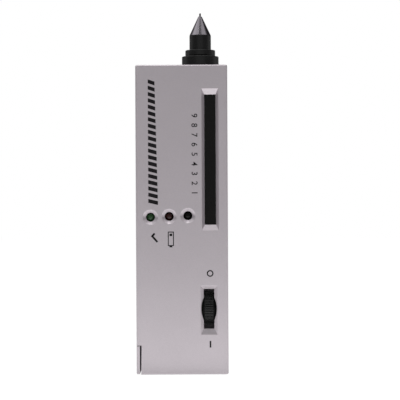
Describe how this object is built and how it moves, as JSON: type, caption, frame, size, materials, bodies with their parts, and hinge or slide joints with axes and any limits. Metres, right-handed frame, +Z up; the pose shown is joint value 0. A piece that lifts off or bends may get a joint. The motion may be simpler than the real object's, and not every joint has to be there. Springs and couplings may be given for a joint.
{
  "type": "diamond tester",
  "caption": "Slim hand-held gem tester: silver case with a lamp bar window, indicator lamps, a thumbwheel switch, a tilting battery door and a stepped probe with a sprung needle on top.",
  "frame": {"origin": "centre of the case's flat base end, which the tester stands on", "axes": "+Z up the case towards the probe, -Y out of the front face with the window, +X to the right of someone who looks at the front"},
  "size_m": [0.041, 0.0225, 0.1621],
  "materials": {
    "case": "fine silver-grey paint on moulded plastic",
    "filter": "dark filter sheet",
    "black_plastic": "satin black moulding",
    "grey_plastic": "moulded",
    "blue_plastic": "moulded",
    "white_plastic": "moulded",
    "green_lens": "tinted clear moulding",
    "red_lens": "tinted clear moulding",
    "dark_lens": "tinted clear moulding",
    "polished_metal": "turned and polished",
    "steel": "plated",
    "brass": "machined",
    "board": "green solder mask",
    "battery_can": "printed can, plain",
    "red_wire": "insulated wire"
  },
  "bodies": {
    "case": {"front_shell": "case", "rear_shell": "case", "display_lens": "filter", "bargraph_lower": "grey_plastic", "bargraph_upper": "grey_plastic", "led_ready": "green_lens", "led_low_battery": "red_lens", "led_contact": "dark_lens", "switch_body": "grey_plastic", "probe_flange": "black_plastic", "probe_collar": "black_plastic", "probe_barrel": "black_plastic", "probe_nose_cone": "polished_metal", "probe_spring": "steel", "probe_sensor": "white_plastic", "insulating_sleeve": "white_plastic", "probe_nut": "brass", "circuit_board": "board", "main_chip": "black_plastic", "driver_chip": "black_plastic", "trimmer": "blue_plastic", "capacitor": "blue_plastic", "buzzer": "black_plastic", "probe_connector": "white_plastic", "probe_lead_a": "white_plastic", "probe_lead_b": "white_plastic", "battery_9v": "battery_can", "battery_snap": "black_plastic", "battery_lead_red": "red_wire", "battery_lead_black": "black_plastic", "touch_plate": "steel", "touch_plate_lead": "red_wire", "case_screw_1": "steel", "case_screw_2": "steel", "case_screw_3": "steel", "case_screw_4": "steel", "board_screw_1": "steel", "board_screw_2": "steel", "board_screw_3": "steel", "board_screw_4": "steel"},
    "wheel": {"thumbwheel": "black_plastic", "wheel_spindle": "steel"},
    "door": {"battery_door": "case"},
    "needle": {"probe_tip": "steel"}
  },
  "joints": [
    {"name": "thumbwheel_turn", "type": "hinge", "parent": "case", "child": "wheel", "pos_m": [0.0119, -0.00396, 0.0292], "axis": [1, 0, 0], "range_deg": [0, 280]},
    {"name": "battery_door_tilt", "type": "hinge", "parent": "case", "child": "door", "pos_m": [0, 0.01015, 0.0615], "axis": [1, 0, 0], "range_deg": [0, 70]},
    {"name": "needle_press", "type": "slide", "parent": "case", "child": "needle", "axis": [0, 0, -1], "range_m": [0, 0.001], "stiffness_N_per_m": 300, "springref_m": -0.001, "deforming": ["probe_spring"]}
  ]
}
